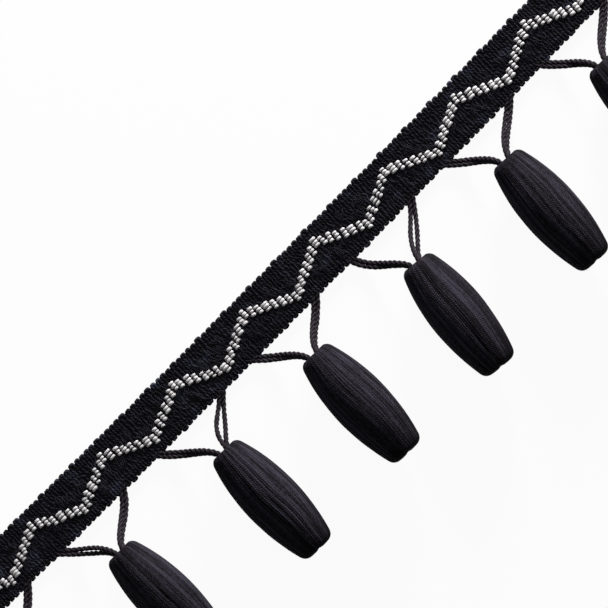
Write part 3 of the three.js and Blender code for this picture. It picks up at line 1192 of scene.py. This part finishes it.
@dataclass
class Bead:
    """A barrel bead, wrapped end to end in threads that turn in at its hole and its bottom dimple."""

    heading: Heading
    index: int
    wrapping: Wrapping = Wrapping()
    belly: float = 13.05
    top_arc: float = 93.0  # the radius of the side's arc above the belly, and of the flatter one below it
    bottom_arc: float = 105.0
    end_rounding: float = 4.4
    mouth: float = 6.0  # the hole's radius at its rim
    dimple: float = 2.6
    dimple_closed: float = 0.15  # how much less deep the dimple's middle is than its last ring
    side_rows: int = 14
    rounding_rows: int = 6
    lean: Span = (0.035, 50.0)  # how far all threads wander round the bead, and how long their waves are
    belly_lean: float = 0.03  # how far they bow aside over the belly
    notch: float = 0.45  # how far the threads are drawn in across the middle of the bottom end
    notch_width: float = 1.2
    notch_rise: float = 2.2  # the length of the bead over which it comes in
    seed: int = 40

    # How deep each ring inside the hole lies, and how much narrower than the rim it is.
    HOLE: ClassVar[tuple[Span, ...]] = ((7.5, 1.2), (5.0, 1.15), (3.0, 1.05), (1.8, 0.8), (0.8, 0.4))
    # How deep each ring in the dimple lies, and its radius as a share of the dimple's.
    DIMPLE: ClassVar[tuple[Span, ...]] = ((0.05, 1.35), (0.3, 1.0), (0.9, 0.65), (1.6, 0.35))

    @property
    def length(self) -> float:
        """Returns the bead's length from end to end."""
        return DROPS[self.index].length

    def _side(self, side_arc: float, until: float) -> tuple[Array, Array]:
        """Draws half the barrel's side, from the belly to the end of the rounding.

        Args:
            side_arc: The radius of the side's arc.
            until: The radius at which the rounding stops.

        Returns:
            The distance from the belly and the radius, for each ring of the mesh.
        """
        half = self.length / 2
        inner = math.sqrt((side_arc - self.end_rounding) ** 2 - (half - self.end_rounding) ** 2)
        centre = self.belly - side_arc + inner
        meet = math.atan2(half - self.end_rounding, inner)
        stop = math.acos(max(until - centre, 0) / self.end_rounding)
        side = np.linspace(0, meet, self.side_rows)
        turn = np.linspace(meet, stop, self.rounding_rows)[1:]
        away = [side_arc * np.sin(side), half - self.end_rounding + self.end_rounding * np.sin(turn)]
        radius = [self.belly - side_arc + side_arc * np.cos(side), centre + self.end_rounding * np.cos(turn)]
        return np.concatenate(away), np.concatenate(radius)

    def _profile(self) -> tuple[Array, Array]:
        """Draws half the bead's section, from inside its hole to its bottom dimple.

        Returns:
            The distance down the bead and the radius, for each ring of the mesh.
        """
        half = self.length / 2
        above, top_radius = self._side(self.top_arc, self.mouth)
        below, bottom_radius = self._side(self.bottom_arc, 0)
        hole_depth, narrower = np.array(self.HOLE).T
        dimple_depth, share = np.array(self.DIMPLE).T
        down = np.concatenate([hole_depth, half - above[::-1], half + below[1:], 2 * half - dimple_depth])
        hole, dimple = self.mouth - narrower, self.dimple * share
        return down, np.concatenate([hole, top_radius[::-1], bottom_radius[1:], dimple])

    def make(self) -> bpy.types.Object:
        """Wraps the bead.

        Returns:
            The bead's piece.
        """
        rng = np.random.default_rng(self.seed + self.index)
        down, radius = self._profile()
        angle, height, tone = self.wrapping.lay(rng, down, self.length)
        lean = Wander(rng, *self.lean).along(down)[:, None]
        bow = np.sin(math.pi * down / self.length)[:, None]
        lean = lean + self.belly_lean * np.sin(2 * angle + rng.uniform(0, TURN)) * bow
        turned = angle + lean + rng.uniform(0, TURN)
        relief = np.clip(radius / self.belly, self.wrapping.finest, 1)[:, None]
        away = radius[:, None] + height * relief
        across, z = away * np.cos(turned), away * np.sin(turned)
        at_foot = ease(down, self.length - self.notch_rise, self.length)[:, None]
        notch = self.notch * at_foot * np.exp(-((across / self.notch_width) ** 2))
        z = np.maximum(z, -AXIS_HEIGHT)  # the belly is pressed a little flat where it lies on the floor
        rings = np.stack([across, -down[:, None] + notch, z], -1)
        ends = np.array([[0, -down[0], 0], [0, self.dimple_closed - down[-1], 0]])
        skein = Skein()
        steps = np.hypot(np.diff(down), np.diff(radius))
        far = np.concatenate([[0], np.cumsum(steps)]) / CENTIMETRE
        skein.wrap(self._place(rings), far, tuple(self._place(ends)), tone)
        piece = skein.build(f"wrapped_bead_{self.index + 1}", Finish.BEAD)
        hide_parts(f"bead_{self.index + 1}")
        return piece

    def _place(self, points: Array) -> Array:
        """Moves points from the bead's own axes to where it lies.

        Args:
            points: Points across, along and above the bead's axis, from its top end.

        Returns:
            The same points in the frame.
        """
        drop = DROPS[self.index]
        across, out = drop.axes()
        place = drop_place(self.index) + drop.shift
        top = np.array([place, self.heading.middle(0) - drop.reach, AXIS_HEIGHT])
        return top + points[..., :1] * across + points[..., 1:2] * out + points[..., 2:] * UP


@dataclass
class Studio:
    """A white floor, soft plain light, and a camera straight above the trim."""

    heading: Heading
    view_width: float = 276.3  # how much of the floor the camera takes in from side to side
    aim: tuple[float, float] = (13.07, -10.7)  # from the middle line of the tape at its middle
    turned: float = -45.33  # degrees, so that the tape rises across the view
    camera_height: float = 2500.0
    sensor: float = 36.0
    sight: float = 20.0  # how far the camera sees, in metres
    floor_size: float = 6.0  # metres
    floor_depth: float = 0.2  # how far the floor lies under the trim
    floor_glow: float = 0.94  # how much of the white that the camera sees is the floor's own
    floor_bounce: float = 0.25  # how much light the floor throws back onto the trim
    world_strength: float = 0.2
    key_from: tuple[float, float] = (42.0, 11.0)  # round from +X to +Y, and up, in degrees
    key_away: float = 1.5  # metres
    key_size: float = 0.5
    key_power: float = 55.0  # watts

    def camera(self) -> None:
        """Hangs the camera."""
        data = bpy.data.cameras.new("camera")
        data.sensor_width = self.sensor
        data.lens = self.sensor * self.camera_height / self.view_width
        data.clip_end = self.sight
        camera = bpy.data.objects.new("camera", data)
        across = self.heading.middle(0) + self.aim[1]
        camera.location = Vector((self.aim[0], across, self.camera_height)) * METRES
        camera.rotation_euler = (0, 0, math.radians(self.turned))
        bpy.context.scene.collection.objects.link(camera)
        bpy.context.scene.camera = camera

    def floor(self) -> None:
        """Lays the floor, which stays white to the camera and keeps a faint shadow."""
        place = (0, 0, -self.floor_depth * METRES)
        bpy.ops.mesh.primitive_plane_add(size=self.floor_size, location=place)
        floor = bpy.context.object
        floor.name = "floor"
        material = bpy.data.materials.new("white_floor")
        material.use_nodes = True
        graph = ShaderGraph(material.node_tree)
        graph.shader.inputs["Roughness"].default_value = 1.0
        graph.shader.inputs["Specular IOR Level"].default_value = 0
        glow = graph.add("ShaderNodeEmission")
        path = graph.add("ShaderNodeLightPath").outputs
        seen = graph.math("MAXIMUM", path["Is Camera Ray"], path["Is Glossy Ray"])
        seen = graph.math("MAXIMUM", seen, path["Is Transmission Ray"])
        grey, white = (self.floor_bounce,) * 3, (1.0, 1.0, 1.0)
        graph.link(graph.mix(seen, grey, white), graph.shader.inputs["Base Color"])
        mix = graph.add("ShaderNodeMixShader")
        graph.link(graph.math("MULTIPLY", seen, self.floor_glow), mix.inputs[0])
        graph.link(graph.shader.outputs[0], mix.inputs[1])
        graph.link(glow.outputs[0], mix.inputs[2])
        graph.link(mix.outputs[0], graph.tree.nodes["Material Output"].inputs[0])
        floor.data.materials.append(material)

    def light(self) -> None:
        """Sets the soft key light at the +X side and the even light from all round."""
        around, up = (math.radians(angle) for angle in self.key_from)
        way = Vector((math.cos(up) * math.cos(around), math.cos(up) * math.sin(around), math.sin(up)))
        data = bpy.data.lights.new("key", "AREA")
        data.shape = "DISK"
        data.size = self.key_size
        data.energy = self.key_power
        key = bpy.data.objects.new("key", data)
        key.location = way * self.key_away
        key.rotation_mode = "QUATERNION"
        key.rotation_quaternion = way.to_track_quat("Z", "Y")
        key.visible_camera = False
        bpy.context.scene.collection.objects.link(key)
        world = bpy.data.worlds.new("studio")
        world.use_nodes = True
        bpy.context.scene.world = world
        nodes, links = world.node_tree.nodes, world.node_tree.links
        path = nodes.new("ShaderNodeLightPath")
        strength = nodes.new("ShaderNodeMapRange")
        strength.inputs["To Min"].default_value = self.world_strength
        strength.inputs["To Max"].default_value = 1.0
        links.new(path.outputs["Is Camera Ray"], strength.inputs["Value"])
        links.new(strength.outputs[0], nodes["Background"].inputs["Strength"])
        nodes["Background"].inputs["Color"].default_value = (1, 1, 1, 1)

    def build(self) -> None:
        """Sets up the camera, the floor and the lights."""
        self.camera()
        self.floor()
        self.light()
        bpy.context.scene.view_settings.view_transform = "Standard"


def main() -> None:
    """Builds the studio, the cords, the tape and the beads, in that order."""
    logging.basicConfig(level=logging.INFO, format="%(name)s: %(message)s")
    heading = Heading()
    Studio(heading).build()
    for index in range(len(DROPS)):
        for strand in Strand:
            Cord(heading, index, strand).make()
    feet = [drop_place(i) + leg.foot for i, drop in enumerate(DROPS) for leg in (drop.left, drop.right)]
    ground = heading.ground()
    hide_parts("heading")
    on_ground = heading.weave(feet)
    on_ground += [Binding(heading).lay(), LooseFibres(heading).lay(), Zigzag(heading).weave()]
    for index in range(len(DROPS)):
        Bead(heading, index).make()


if __name__ == "__main__":
    main()
